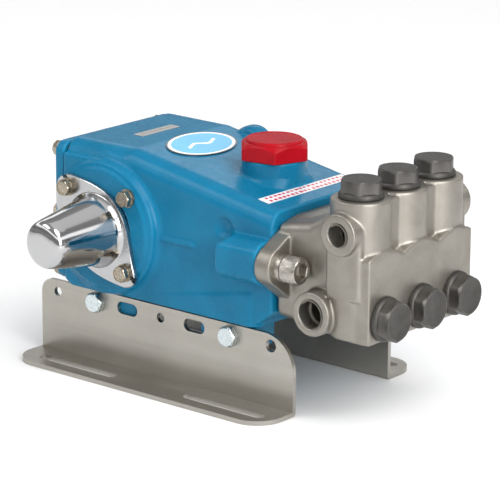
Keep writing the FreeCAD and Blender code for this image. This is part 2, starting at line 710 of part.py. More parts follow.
def protector_shape():
    """Cone and flange in one; the flange reaches out only to two screws on one diagonal."""
    pad, thick = read("pad_face"), read("flange_thick")
    upper = [(-36.6, 8.0), (-36.6, 24.0), (-33.5, 31.0), (-27.0, 34.0), (-20.0, 33.4), (-2.3, 30.6),
             (10.0, 26.0), (18.8, 18.4)]
    lower = [(25.2, 8.5), (28.5, -4.8), (31.5, -19.5), (34.0, -27.0), (32.5, -33.0), (27.0, -35.6),
             (21.7, -35.5), (4.7, -32.8), (-10.0, -27.6), (-18.8, -18.4), (-28.0, -6.0)]
    outline = [Vector(x, -pad - thick, z) for x, z in upper + lower]
    curve = Part.BSplineCurve()
    curve.buildFromPoles(outline, True, 2)
    flange = Part.Face(Part.Wire(curve.toShape())).extrude(Vector(0, thick, 0))
    profile = [Vector(0, -pad, 0), Vector(25.5, -pad, 0), Vector(25.5, -pad - 3.5, 0),
               Vector(23.6, -pad - 6.0, 0), Vector(16.6, -pad - 50.0, 0),
               Vector(13.0, -pad - 54.2, 0), Vector(6.0, -pad - 55.6, 0),
               Vector(0, -pad - 55.8, 0)]
    shell = Part.Face(Part.makePolygon(profile + profile[:1])).revolve(Vector(0, 0, 0), Y, 360)
    body = flange.fuse(shell)
    inside = Part.makeCone(21.5, 14.0, 51.0, Vector(0, -pad + 0.01, 0), -Y)
    body = body.cut(inside)
    for x, z in ((-SCREW_CIRCLE, SCREW_CIRCLE), (SCREW_CIRCLE, -SCREW_CIRCLE)):
        body = body.cut(rod(3.2, -pad - 10, -pad + 1, x, z))
    return body.removeSplitter()


def drive_side_parts():
    """Bearing case, its screws and the lip seal on the driven side."""
    pad = size["pad_face"]
    raw = turned("case_disc", [(14.0, 0.0), (43.0, 0.0), (43.0, 5.5), (41.5, 7.0), (27.0, 7.0),
                               (25.0, 11.0), (18.0, 11.0), (18.0, 3.0), (14.0, 3.0)],
                 (0.0, pad, 0.0), Y)
    spots = [(x * SCREW_CIRCLE, z * SCREW_CIRCLE) for x in (-1, 1) for z in (-1, 1)]
    holes = [cylinder("case_hole_%d" % i, 3.2, 20.0, (x, pad - 5.0, z), Y)
             for i, (x, z) in enumerate(spots)]
    keep(cut("case_drilled", raw, fuse("case_holes", holes)), "bearing_case")
    screws = [hex_screw("case_screw_%d" % i, 10.0, 5.0, 2.9, 17.0, (x, pad + 7.0, z), Y, 15.0)
              for i, (x, z) in enumerate(spots)]
    keep(group("case_screw_set", screws), "bearing_case_screws")
    seal = turned("shaft_seal", [(10.6, 4.0), (12.4, 3.2), (17.9, 3.2), (17.9, 10.2), (15.5, 10.2),
                                 (14.5, 6.2), (11.9, 6.2)], (0.0, pad, 0.0), Y)
    keep(seal, "drive_shaft_seal")


def bearing_parts():
    face, width, outer = size["bearing_face"], size["bearing_width"], size["bearing_radius"]
    outers, inners, balls = [], [], []
    for label, side in SIDES:
        start = face * float(side)
        direction = Y * float(side)
        groove = width / 2.0
        outers.append(turned("outer_race_" + label, [
            (outer - 5.2, 0.0), (outer, 0.0), (outer, width), (outer - 5.2, width),
            (outer - 5.2, groove + 3.4), (outer - 3.4, groove + 1.6), (outer - 3.4, groove - 1.6),
            (outer - 5.2, groove - 3.4)], (0.0, start, 0.0), direction))
        bore = size["journal_radius"]
        inners.append(turned("inner_race_" + label, [
            (bore, 0.0), (bore + 4.6, 0.0), (bore + 4.6, groove - 3.4), (bore + 2.8, groove - 1.6),
            (bore + 2.8, groove + 1.6), (bore + 4.6, groove + 3.4), (bore + 4.6, width),
            (bore, width)], (0.0, start, 0.0), direction))
        for i in range(9):
            angle = math.radians(40.0 * i)
            ball = doc.addObject("Part::Sphere", "ball_%s_%d" % (label, i))
            ball.Radius = 3.5
            reach = 19.0
            balls.append(place(ball, (reach * math.cos(angle), start + groove * float(side),
                                      reach * math.sin(angle))))
    keep(group("outer_races", outers), "bearing_outer_races")
    keep(group("inner_races", inners), "bearing_inner_races")
    keep(group("balls", balls), "bearing_balls")


# ---------------------------------------------------------------- running gear

def crank_angle(index):
    """Rest angle of a crankpin about the crank axis, measured from +X towards +Z."""
    return math.radians(120.0 * index)


def pin_centre(index):
    angle = crank_angle(index)
    return size["throw"] * math.cos(angle), size["throw"] * math.sin(angle)


def crankshaft():
    """One-piece crankshaft: three pins, two webs, journals and a keyed drive end."""
    half = size["big_end_width"] / 2.0 + 0.5
    pitch, web = size["pitch"], size["web_radius"]
    pieces = []
    for index in CYLINDERS:
        x, z = pin_centre(index)
        pieces.append(cylinder("crankpin_%d" % (index + 2), size["crankpin_radius"], half * 2.0 + 1.0,
                               (x, lane(index) - half - 0.5, z), Y))
    for index in (-1, 0):
        pieces.append(cylinder("crank_web_%d" % (index + 2), web, pitch - half * 2.0,
                               (0.0, lane(index) + half, 0.0), Y))
    journal, face = size["journal_radius"], size["bearing_face"]
    for label, side in SIDES:
        start = (pitch + half) * float(side)
        pieces.append(cylinder("journal_" + label, journal, face + size["bearing_width"] - pitch - half,
                               (0.0, start, 0.0), Y * float(side)))
    radius, land = size["shaft_radius"], size["seal_land"]
    tip = turned("drive_end", [(0.0, 0.0), (land, 0.0), (land, 15.0), (radius, 15.0),
                               (radius, size["shaft_end"] - 61.0),
                               (radius - 1.0, size["shaft_end"] - 60.0),
                               (0.0, size["shaft_end"] - 60.0)], (0.0, 60.0, 0.0), Y)
    idle = turned("idle_end", [(0.0, 0.0), (radius - 1.0, 0.0), (radius - 1.0, 37.0),
                               (radius - 2.0, 38.0), (0.0, 38.0)], (0.0, -60.0, 0.0), -Y)
    body = fuse("crank_solid", pieces + [tip, idle])
    keyway = block("keyway", (6.0, 20.0, 5.0), (-3.0, size["shaft_end"] - 15.0, radius - 3.5))
    keep(cut("crank_keyed", body, keyway), "crankshaft")


def connecting_rod(index):
    """Split rod: big end round the crankpin, flat shank and small end eye with its pin."""
    number = index + 2
    x, z = pin_centre(index)
    y = lane(index)
    length, width = size["rod_length"], size["rod_width"]
    big = size["crankpin_radius"] + 6.0
    wide = size["big_end_width"]
    ring_end = cylinder("rod_big_%d" % number, big, wide, (x, y - wide / 2.0, z), Y)
    shank = block("rod_shank_%d" % number, (length - 10.0, width, 9.0),
                  (x + 10.0, y - width / 2.0, z - 4.5))
    eye = cylinder("rod_eye_%d" % number, size["small_end_radius"], width,
                   (x + length, y - width / 2.0, z), Y)
    ears = block("rod_ears_%d" % number, (12.0, 12.0, 44.0), (x - 8.0, y - 6.0, z - 22.0))
    solid = fuse("rod_solid_%d" % number, [ring_end, shank, eye, ears])
    bore = cylinder("rod_bore_%d" % number, size["crankpin_radius"] + size["pin_offset_gap"],
                    wide + 2.0, (x, y - wide / 2.0 - 1.0, z), Y)
    eye_bore = cylinder("rod_eye_bore_%d" % number, size["wrist_pin_radius"], wide,
                        (x + length, y - wide / 2.0, z), Y)
    split = block("rod_split_%d" % number, (0.3, wide + 2.0, 60.0),
                  (x - 2.3, y - wide / 2.0 - 1.0, z - 30.0))
    tools = fuse("rod_tools_%d" % number, [bore, eye_bore, split])
    keep(cut("rod_%d" % number, solid, tools), "connecting_rod_%d" % number)
    pin = cylinder("wrist_%d" % number, size["wrist_pin_radius"], 14.0, (x + length, y - 7.0, z), Y)
    keep(pin, "wrist_pin_%d" % number)


def crosshead(index):
    """Hollow crosshead with its plunger rod, at the middle of the stroke."""
    number = index + 2
    y = lane(index)
    outer, bore = size["crosshead_radius"], size["crosshead_bore"]
    start = size["rod_length"] - 6.0
    cup = turned("crosshead_cup_%d" % number, [
        (bore, 0.0), (outer - 0.6, 0.0), (outer, 0.6), (outer, 30.0), (outer - 1.0, 31.0),
        (7.9, 31.0), (7.9, 92.0), (6.5, 92.0), (6.5, 94.0), (3.0, 94.0), (3.0, 132.0), (0.0, 132.0),
        (0.0, 26.0), (bore, 26.0)], (start, y, 0.0), X)
    holes = cylinder("crosshead_hole_%d" % number, size["wrist_pin_radius"], 40.0,
                     (size["rod_length"], y - 20.0, 0.0), Y)
    keep(cut("crosshead_%d_drilled" % number, cup, holes), "crosshead_%d" % number)
    plunger = size["plunger_radius"]
    sleeve = turned("plunger_%d" % number, [
        (3.1, 0.0), (plunger, 0.0), (plunger, 45.0), (plunger - 1.0, 46.0), (3.1, 46.0)],
        (start + 94.0, y, 0.0), X)
    keep(sleeve, "ceramic_plunger_%d" % number)


def wet_end_parts():
    """Oil seals, seal cases and the two packings of each plunger."""
    front = size["front_face"]
    oil, cases, low, high = [], [], [], []
    for index in CYLINDERS:
        y, tag = lane(index), str(index + 2)
        oil.append(turned("oil_seal_" + tag, [(8.0, 4.0), (9.5, 0.0), (12.9, 0.0), (12.9, 9.5),
                                              (11.4, 9.5), (10.5, 5.0)], (front - 10.8, y, 0.0), X))
        cases.append(turned("seal_case_" + tag, [(9.3, 0.0), (13.3, 0.0), (13.3, 3.6), (11.6, 3.6),
                                                 (11.6, 0.8), (9.3, 0.8)], (front + 0.05, y, 0.0), X))
        low.append(turned("low_seal_" + tag, [(9.06, 0.0), (11.5, 0.0), (11.5, 2.6), (10.8, 2.6),
                                              (10.2, 1.2), (9.06, 2.4)], (front + 0.95, y, 0.0), X))
        high.append(turned("packing_" + tag, [(9.06, 0.0), (13.3, 0.0), (13.3, 7.0), (12.4, 7.0),
                                              (11.4, 4.0), (10.2, 7.0), (9.06, 7.0)],
                           (front + 3.8, y, 0.0), X))
    keep(group("oil_seal_set", oil), "crosshead_oil_seals")
    keep(group("seal_case_set", cases), "seal_cases")
    keep(group("low_seal_set", low), "low_pressure_seals")
    keep(group("packing_set", high), "high_pressure_packings")


# ---------------------------------------------------------------- valves

SEAT_DEPTH = 5.0
VALVE_LIFT = 3.0


def valve_mouths():
    """Bottom of each valve chamber and the way its plug comes out."""
    mouths = []
    for index in CYLINDERS:
        mouths.append(("discharge_%d" % (index + 2), (size["column_x"], lane(index), 12.2), Z))
    for index in CYLINDERS:
        mouths.append(("inlet_%d" % (index + 2), (187.2, lane(index), size["inlet_height"]), X))
    return mouths


def stepped(at, direction, distance):
    return tuple(a + distance * d for a, d in zip(at, direction))


def spring_shape(at, direction, radius, wire, height, turns):
    """A closed coil compression spring standing on at."""
    helix = Part.makeHelix(height / turns, height, radius)
    ring_face = Part.Wire(Part.Circle(Vector(radius, 0, 0), Y, wire).toShape())
    coil = Part.Wire(helix.Edges).makePipeShell([ring_face], True, True)
    turn = Rotation(Z, direction)
    coil.Placement = Placement(Vector(*[value_of(a) for a in at]), turn)
    return coil


def valve_parts():
    seats, cages = [], []
    for tag, at, direction in valve_mouths():
        seats.append(turned("seat_" + tag, [(6.5, 0.0), (11.9, 0.0), (11.9, SEAT_DEPTH),
                                            (8.2, SEAT_DEPTH), (6.5, SEAT_DEPTH - 1.6)],
                            at, direction))
        disc = turned("valve_disc_" + tag, [(0.0, 0.3), (7.6, 0.3), (7.6, 1.6), (2.4, 2.4),
                                            (2.4, 6.0), (0.0, 6.0)],
                      stepped(at, direction, SEAT_DEPTH), direction)
        side, number = tag.split("_")
        keep(disc, "%s_valve_%s" % (side, number))
        cages.append(cage(tag, stepped(at, direction, SEAT_DEPTH + 0.1), direction))
    keep(group("seat_set", seats), "valve_seats")
    keep(group("cage_set", cages), "valve_cages")
    for side in ("discharge", "inlet"):
        coils = [spring_shape(stepped(at, direction, SEAT_DEPTH + 2.9), direction, 3.6, 0.45, 9.0, 5)
                 for tag, at, direction in valve_mouths() if tag.startswith(side)]
        feature(side + "_valve_springs", Part.makeCompound(coils))


def cage(tag, at, direction):
    """Open cage over a valve: a cup with four windows."""
    cup = turned("cage_cup_" + tag, [(9.6, 0.0), (11.7, 0.0), (11.7, 2.0), (10.6, 2.6),
                                     (10.6, 14.4), (3.0, 14.4), (3.0, 12.8), (9.0, 12.8),
                                     (9.0, 3.0)], at, direction)
    across = Y if direction == Z else Z
    base = stepped(at, direction, 7.6)
    window_a = cylinder("cage_window_a_" + tag, 3.6, 30.0, stepped(base, across, -15.0), across)
    other = X if direction == Z else Y
    window_b = cylinder("cage_window_b_" + tag, 3.6, 30.0, stepped(base, other, -15.0), other)
    return cut("cage_" + tag, cup, fuse("cage_windows_" + tag, [window_a, window_b]))


def manifold_parts():
    feature("manifold", manifold_shape())
    flange = size["flange_front"]
    spots = [size["stud_line"] * -1.0, size["stud_line"] * 1.0]
    washers = [ring("washer_%d" % i, 6.4, 9.25, 2.2, (flange, y, size["stud_height"]), X)
               for i, y in enumerate(spots)]
    keep(group("washer_set", washers), "manifold_washers")
    locks = [ring("lock_washer_%d" % i, 6.3, 9.2, 2.6, (flange + 2.2, y, size["stud_height"]), X)
             for i, y in enumerate(spots)]
    keep(group("lock_washer_set", locks), "manifold_lock_washers")
    screws = [socket_screw("manifold_screw_%d" % i, (flange + 4.8, y, size["stud_height"]), X)
              for i, y in enumerate(spots)]
    keep(group("manifold_screw_set", screws), "manifold_screws")
    tops = [valve_plug("discharge_plug_%d" % (i + 2), (size["column_x"], lane(i), size["column_top"]), Z)
            for i in CYLINDERS]
    keep(group("discharge_plug_set", tops), "discharge_valve_plugs")
    fronts = [valve_plug("inlet_plug_%d" % (i + 2), (size["block_front"], lane(i),
                                                    size["inlet_height"]), X)
              for i in CYLINDERS]
    keep(group("inlet_plug_set", fronts), "inlet_valve_plugs")


def rail_parts():
    for label, side in SIDES:
        rail(label + "_rail", side)
    bolts = []
    for label, side in SIDES:
        for spot in ("rear_bolt", "front_bolt"):
            face = (size["foot_face"] + size["rail_wall"]) * float(side)
            bolts.append(hex_screw("%s_%s" % (spot, label), 13.0, 5.6, 3.95, 21.0,
                                   (size[spot], face, size["bolt_line"]), Y * float(side), 10.0))
    keep(group("rail_bolt_set", bolts), "rail_bolts")


# ---------------------------------------------------------------- filler cap and plates

def filler_parts():
    at = (size["cap_x"], 0.0, size["neck_top"])
    raw = hexagon("cap_hex", size["cap_flats"], 13.0, at, Z, 10.0)
    crown = turned("cap_crown", [(0.0, -1.0), (26.0, -1.0), (26.0, 7.4), (21.0, 13.0), (0.0, 13.0)],
                   at, Z)
    head = common("cap_head", raw, crown)
    skirt = turned("cap_skirt", [(13.5, -9.0), (17.0, -9.0), (17.0, 1.0), (13.5, 1.0)], at, Z)
    keep(fuse("cap_solid", [head, skirt]), "filler_cap")


def top_plates():
    """Name oval, serial strip and caution strip that lie on the sloping top."""
    slope = math.degrees(math.atan2(read("top_height") - read("top_front"),
                                    read("front_face") - read("roof_break")))
    feature("badge_plate", lying_plate(35.0, 18.0, 30.0, 0.8, slope, True))
    feature("serial_plate", lying_plate(-5.0, 4.0, 19.0, 0.5, 0.0, False))
    feature("caution_label", lying_plate(124.0, 4.4, 43.0, 0.3, slope, False))


def lying_plate(x, half_x, half_y, thickness, slope, oval):
    """A thin plate on the crankcase top: an oval or a strip with its long side along Y."""
    run = max(x - read("roof_break"), 0.0)
    z = read("top_height") - run * math.tan(math.radians(slope))
    if oval:
        outline = Part.Ellipse(Vector(0, 0, 0), half_y, half_x)
        face = Part.Face(Part.Wire(outline.toShape()))
        face.rotate(Vector(0, 0, 0), Z, 90)
    else:
        face = Part.makePlane(half_x * 2, half_y * 2, Vector(-half_x, -half_y, 0))
    plate = face.extrude(Vector(0, 0, thickness))
    plate.rotate(Vector(0, 0, 0), Y, slope)
    plate.translate(Vector(x, 0, z + 0.06))
    return plate


crankcase_parts()
protector_parts()
drive_side_parts()
bearing_parts()
crankshaft()
for cylinder_index in CYLINDERS:
    connecting_rod(cylinder_index)
    crosshead(cylinder_index)
wet_end_parts()
manifold_parts()
valve_parts()
rail_parts()
filler_parts()
top_plates()
doc.recompute()

failed = [item.Name for item in doc.Objects if "Invalid" in item.State or "Error" in item.State]
for item in subparts:
    if item.Shape.isNull() or not item.Shape.isValid():
        failed.append(item.Label)
if failed:
    raise RuntimeError("failed objects: " + ", ".join(failed))

os.makedirs("parts", exist_ok=True)
for item in subparts:
    item.Shape.exportStep("parts/%s.step" % item.Label)
print("wrote %d sub-parts" % len(subparts))
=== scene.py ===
import json
import math

import bmesh
import bpy
from mathutils import Matrix, Vector


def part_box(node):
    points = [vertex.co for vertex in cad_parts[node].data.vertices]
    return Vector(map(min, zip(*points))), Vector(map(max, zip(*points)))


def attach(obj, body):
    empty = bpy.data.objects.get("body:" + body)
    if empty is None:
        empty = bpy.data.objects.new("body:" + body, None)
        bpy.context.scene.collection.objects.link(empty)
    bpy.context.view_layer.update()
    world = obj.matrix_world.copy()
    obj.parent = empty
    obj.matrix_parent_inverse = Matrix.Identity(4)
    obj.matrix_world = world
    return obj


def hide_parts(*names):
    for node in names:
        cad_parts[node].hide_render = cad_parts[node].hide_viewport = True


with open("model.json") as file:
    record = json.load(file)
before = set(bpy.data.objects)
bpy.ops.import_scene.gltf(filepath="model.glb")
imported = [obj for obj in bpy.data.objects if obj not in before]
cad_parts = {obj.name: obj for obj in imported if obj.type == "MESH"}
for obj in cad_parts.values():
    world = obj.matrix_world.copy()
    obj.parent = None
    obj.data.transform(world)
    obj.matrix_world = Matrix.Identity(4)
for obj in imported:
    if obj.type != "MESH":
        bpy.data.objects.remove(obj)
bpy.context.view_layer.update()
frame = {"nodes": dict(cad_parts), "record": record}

MM = 0.001
X, Y, Z = Vector((1, 0, 0)), Vector((0, 1, 0)), Vector((0, 0, 1))


# ---------------------------------------------------------------- places read from the frame

def corners(node):
    low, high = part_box(node)
    return Vector(low), Vector(high)


def middle(node):
    low, high = corners(node)
    return (low + high) / 2


def islands(node):
    """Centre, lowest and highest corner of each separate solid of a node, sorted by place."""
    mesh = frame["nodes"][node].data
    names, owner = {}, []
    for vertex in mesh.vertices:
        key = tuple(round(c, 6) for c in vertex.co)
        owner.append(names.setdefault(key, len(names)))
    parent = list(range(len(names)))

    def top(i):
        while parent[i] != i:
            parent[i] = parent[parent[i]]
            i = parent[i]
        return i

    for edge in mesh.edges:
        a, b = (top(owner[v]) for v in edge.vertices)
        parent[a] = b
    groups = {}
    for key, i in names.items():
        groups.setdefault(top(i), []).append(Vector(key))
    found = []
    for points in groups.values():
        low = Vector([min(p[k] for p in points) for k in range(3)])
        high = Vector([max(p[k] for p in points) for k in range(3)])
        found.append(((low + high) / 2, low, high))
    return sorted(found, key=lambda item: tuple(round(c, 5) for c in item[0]))


CRANK = middle("shaft_protector")
CRANK.y = 0.0


def pump(x, y, z):
    """A point in pump axes (millimetres from the crank axis) in the row frame."""
    return Vector((CRANK.x + x * MM, y * MM, CRANK.z + z * MM))


# ---------------------------------------------------------------- mesh helpers

def new_object(name, mesh):
    item = bpy.data.objects.new(name, mesh)
    bpy.context.scene.collection.objects.link(item)
    return item


def shade(item, angle=35.0):
    """Smooth shading that breaks at edges sharper than the angle."""
    item.data.polygons.foreach_set("use_smooth", [True] * len(item.data.polygons))
    item.data.set_sharp_from_angle(angle=math.radians(angle))
    return item


def turn_to(at, direction, spin=0.0):
    """Local Z along direction, standing on at."""
    quaternion = Z.rotation_difference(direction)
    return Matrix.Translation(at) @ quaternion.to_matrix().to_4x4() @ Matrix.Rotation(spin, 4, "Z")


def ring_mesh(name, rings, close_start, close_end):
    """Skin a list of rings of points, each with the same count."""
    mesh = bpy.data.meshes.new(name)
    count = len(rings[0])
    points = [p for ring in rings for p in ring]
    faces = []
    for r in range(len(rings) - 1):
        for i in range(count):
            j = (i + 1) % count
            faces.append((r * count + i, r * count + j, (r + 1) * count + j, (r + 1) * count + i))
    if close_start:
        faces.append(tuple(reversed(range(count))))
    if close_end:
        faces.append(tuple((len(rings) - 1) * count + i for i in range(count)))
    mesh.from_pydata(points, [], faces)
    return mesh


ARC_STEPS = 5


def rounded_profile(points):
    """Replace corners given as (r, z, radius) by short arcs."""
    out = []
    for k, point in enumerate(points):
        here = Vector(point[:2])
        radius = point[2] if len(point) > 2 else 0.0
        if radius <= 0 or k in (0, len(points) - 1):
            out.append(tuple(here))
            continue
        before = Vector(points[k - 1][:2]) - here
        after = Vector(points[k + 1][:2]) - here
        reach = min(radius, before.length * 0.49, after.length * 0.49)
        start = here + before.normalized() * reach
        end = here + after.normalized() * reach
        for s in range(ARC_STEPS + 1):
            t = s / ARC_STEPS
            out.append(tuple(start * (1 - t) ** 2 + here * 2 * t * (1 - t) + end * t * t))
    return out


def lathe(name, points, at, direction, segments=96, angle=35.0):
    """A turned piece from (radius, height, corner radius) points in millimetres."""
    rings = []
    for radius, height in rounded_profile(points):
        r = max(radius, 0.001)
        rings.append([(r * MM * math.cos(2 * math.pi * i / segments),
                       r * MM * math.sin(2 * math.pi * i / segments), height * MM)
                      for i in range(segments)])
    mesh = ring_mesh(name, rings, points[0][0] < 0.01, points[-1][0] < 0.01)
    mesh.transform(turn_to(at, direction))
    return shade(new_object(name, mesh), angle)


def hex_radius(theta, flats, corner):
    """Radius of a hexagon with slightly worn corners at an angle."""
    sector = (theta + math.pi / 6) % (math.pi / 3) - math.pi / 6
    return min(flats / 2 / math.cos(sector), corner)


def hex_head(name, flats, height, at, direction, spin=0.0, dish=0.0, chamfer=30.0, wear=0.975,
             crown=0.46, base=0.0, segments=144):
    """A hexagon head whose upper corners are turned off by a chamfer."""
    corner = flats / math.sqrt(3) * wear
    circle = flats * crown
    slope = math.tan(math.radians(chamfer))
    edge = 0.35
    rings = [[] for _ in range(7)]
    for i in range(segments):
        theta = 2 * math.pi * i / segments
        r = hex_radius(theta, flats, corner)
        c, s = math.cos(theta), math.sin(theta)
        shoulder = height - max(0.0, r - circle) * slope
        stack = [(r - edge, base), (r, base + edge), (r, shoulder - edge),
                 (r - edge * 0.9, shoulder + edge * 0.2), (circle + 0.4, height - 0.12),
                 (circle - 0.3, height), (circle * 0.93, height - dish)]
        for ring, (radius, z) in zip(rings, stack):
            ring.append((radius * c * MM, radius * s * MM, z * MM))
    mesh = ring_mesh(name, rings, True, True)
    mesh.transform(turn_to(at, direction, spin))
    return shade(new_object(name, mesh), 28.0)


def joined(name, items):
    """Merge finished objects into one piece."""
    build = bmesh.new()
    for item in items:
        build.from_mesh(item.data)
    mesh = bpy.data.meshes.new(name)
    build.to_mesh(mesh)
    build.free()
    piece = new_object(name, mesh)
    for item in items:
        bpy.data.objects.remove(item)
    return shade(piece, 30.0)


def select_only(item):
    bpy.ops.object.select_all(action="DESELECT")
    item.select_set(True)
    bpy.context.view_layer.objects.active = item


def apply(item, kind, **settings):
    modifier = item.modifiers.new(kind.title(), kind)
    for key, value in settings.items():
        setattr(modifier, key, value)
    select_only(item)
    bpy.ops.object.modifier_apply(modifier=modifier.name)


def cast_skin(node, name, voxel, rounds, keep_ratio):
    """The node's own shape with the soft fillets of a casting, as a new piece."""
    item = new_object(name, frame["nodes"][node].data.copy())
    item.data.materials.clear()
    apply(item, "REMESH", mode="VOXEL", voxel_size=voxel * MM, adaptivity=0.0,
          use_smooth_shade=True)
    apply(item, "SMOOTH", factor=0.5, iterations=rounds)
    apply(item, "DECIMATE", ratio=keep_ratio)
    item.data.polygons.foreach_set("use_smooth", [True] * len(item.data.polygons))
    return item


def stand_for(item, body, slot_name, material, *nodes):
    """Ride on the body, take the given material and stand for the CAD nodes; slot_name is not used.
    """
    item.data.materials.clear()
    item.data.materials.append(material)
    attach(item, body)
    if nodes:
        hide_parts(*nodes)


# ---------------------------------------------------------------- materials

class Finish:
    """A node material on object coordinates, with small helpers for its layers."""

    def __init__(self, name, color, metallic=0.0, roughness=0.4, **sockets):
        self.material = bpy.data.materials.new(name)
        self.material.use_nodes = True
        self.nodes = self.material.node_tree.nodes
        self.links = self.material.node_tree.links
        self.shader = self.nodes["Principled BSDF"]
        self.shader.inputs["Base Color"].default_value = (*color, 1.0)
        self.shader.inputs["Metallic"].default_value = metallic
        self.shader.inputs["Roughness"].default_value = roughness
        for key, value in sockets.items():
            self.shader.inputs[key.replace("_", " ")].default_value = value
        self.place = self.nodes.new("ShaderNodeTexCoord").outputs["Object"]
        self.height = None

    def stretched(self, scale):
        mapping = self.nodes.new("ShaderNodeMapping")
        mapping.inputs["Scale"].default_value = scale
        self.links.new(self.place, mapping.inputs["Vector"])
        return mapping.outputs["Vector"]

    def noise(self, scale, detail=3.0, rough=0.5, at=None, distortion=0.0):
        node = self.nodes.new("ShaderNodeTexNoise")
        node.inputs["Scale"].default_value = scale
        node.inputs["Detail"].default_value = detail
        node.inputs["Roughness"].default_value = rough
        node.inputs["Distortion"].default_value = distortion
        self.links.new(at or self.place, node.inputs["Vector"])
        return node.outputs["Fac"]

    def ramp(self, value, low, high, a=0.0, b=1.0):
        """Map value from low..high to a..b."""
        node = self.nodes.new("ShaderNodeMapRange")
        node.inputs["From Min"].default_value = low
        node.inputs["From Max"].default_value = high
        node.inputs["To Min"].default_value = a
        node.inputs["To Max"].default_value = b
        self.links.new(value, node.inputs["Value"])
        return node.outputs["Result"]

    def math(self, kind, a, b=None):
        node = self.nodes.new("ShaderNodeMath")
        node.operation = kind
        for socket, value in zip(node.inputs, (a, b)):
            if value is None:
                continue
            if isinstance(value, (int, float)):
                socket.default_value = value
            else:
                self.links.new(value, socket)
        return node.outputs["Value"]

    def mix(self, factor, a, b):
        node = self.nodes.new("ShaderNodeMix")
        node.data_type = "RGBA"
        for name, value in (("A", a), ("B", b)):
            socket = [s for s in node.inputs if s.name == name and s.type == "RGBA"][0]
            if isinstance(value, tuple):
                socket.default_value = (*value, 1.0)
            else:
                self.links.new(value, socket)
        self.links.new(factor, node.inputs["Factor"])
        return [s for s in node.outputs if s.type == "RGBA"][0]

    def paint(self, color):
        self.links.new(color, self.shader.inputs["Base Color"])

    def rough(self, value):
        self.links.new(value, self.shader.inputs["Roughness"])

    def bump(self, value, depth, strength=1.0):
        """Stack a bump layer whose depth is in millimetres."""
        node = self.nodes.new("ShaderNodeBump")
        node.inputs["Strength"].default_value = strength
        node.inputs["Distance"].default_value = depth * MM
        self.links.new(value, node.inputs["Height"])
        if self.height is not None:
            self.links.new(self.height, node.inputs["Normal"])
        self.height = node.outputs["Normal"]
        self.links.new(self.height, self.shader.inputs["Normal"])

    def edges(self, low, high):
        """0 on flats, 1 on convex edges."""
        geometry = self.nodes.new("ShaderNodeNewGeometry")
        return self.ramp(geometry.outputs["Pointiness"], low, high)

    def axis(self, letter):
        node = self.nodes.new("ShaderNodeSeparateXYZ")
        self.links.new(self.place, node.inputs["Vector"])
        return node.outputs[letter]


def blue_paint():
    f = Finish("blue_paint", (0.006, 0.185, 0.36), 0.0, 0.30, Coat_Weight=0.07, Coat_Roughness=0.08)
    f.shader.inputs["Specular IOR Level"].default_value = 0.15
    tone = f.noise(38, 4, 0.55)
    base = f.mix(f.ramp(tone, 0.35, 0.65), (0.0035, 0.140, 0.265), (0.005, 0.168, 0.312))
    # Painted highlight: convex edges are mixed toward a lighter cyan blue, standing in for light
    # caught on rounded edges.
    f.paint(f.mix(f.ramp(f.edges(0.51, 0.57), 0.0, 1.0, 0.0, 0.35), base, (0.03, 0.30, 0.52)))
    f.rough(f.ramp(f.noise(160, 5, 0.6), 0.3, 0.7, 0.22, 0.36))
    f.bump(f.noise(95, 2, 0.4), 0.10, 0.35)
    f.bump(f.noise(850, 2, 0.45), 0.03, 0.45)
    return f.material


def cast_stainless():
    f = Finish("cast_stainless", (0.42, 0.395, 0.36), 0.9, 0.42)
    blotch = f.noise(42, 5, 0.6, distortion=0.4)
    base = f.mix(f.ramp(blotch, 0.3, 0.7), (0.27, 0.252, 0.220), (0.35, 0.329, 0.292))
    speck = f.ramp(f.noise(900, 3, 0.7), 0.56, 0.72)
    f.paint(f.mix(f.math("MULTIPLY", speck, 0.35), base, (0.27, 0.25, 0.225)))
    f.rough(f.ramp(f.noise(70, 5, 0.6), 0.3, 0.7, 0.36, 0.52))
    f.bump(f.noise(110, 3, 0.5), 0.16, 0.4)
    f.bump(f.noise(1500, 3, 0.6), 0.05, 0.6)
    return f.material


def rail_stainless():
    f = Finish("rail_stainless", (0.50, 0.48, 0.44), 1.0, 0.34, Anisotropic=0.45)
    grain = f.noise(1, 5, 0.65, at=f.stretched((18, 1500, 1500)))
    long_marks = f.noise(1, 3, 0.5, at=f.stretched((4, 320, 320)))
    base = f.mix(f.ramp(f.noise(14, 4, 0.6), 0.3, 0.7), (0.37, 0.352, 0.317), (0.45, 0.430, 0.388))
    f.paint(f.mix(f.ramp(grain, 0.35, 0.65, 0.0, 0.22), base, (0.36, 0.34, 0.31)))
    f.rough(f.ramp(f.math("ADD", grain, long_marks), 0.7, 1.3, 0.26, 0.44))
    f.bump(grain, 0.02, 0.35)
    return f.material


def chrome_cone():
    f = Finish("chrome_cone", (0.50, 0.50, 0.505), 1.0, 0.09)
    rings = f.noise(1, 4, 0.6, at=f.stretched((6, 900, 6)))
    f.rough(f.ramp(rings, 0.3, 0.7, 0.07, 0.15))
    f.bump(f.noise(26, 2, 0.4), 0.12, 0.10)
    f.bump(rings, 0.008, 0.25)
    return f.material


def satin_flange():
    f = Finish("satin_flange", (0.47, 0.475, 0.48), 1.0, 0.24)
    f.rough(f.ramp(f.noise(240, 4, 0.6), 0.3, 0.7, 0.18, 0.30))
    f.bump(f.noise(30, 3, 0.5), 0.10, 0.15)
    f.bump(f.noise(1100, 3, 0.5), 0.012, 0.4)
    return f.material


def plated(name, light, dark, roughness):
    """Zinc or passivated steel: cloudy plating with fine scratches."""
    f = Finish(name, light, 1.0, roughness)
    grain = 500
    cloud = f.noise(grain, 4, 0.6, distortion=0.6)
    f.paint(f.mix(f.ramp(cloud, 0.35, 0.65), dark, light))
    f.rough(f.ramp(f.noise(grain * 2, 4, 0.6), 0.3, 0.7, roughness * 0.75, roughness * 1.35))
    f.bump(f.noise(grain * 3, 3, 0.6), 0.012, 0.4)
    return f.material


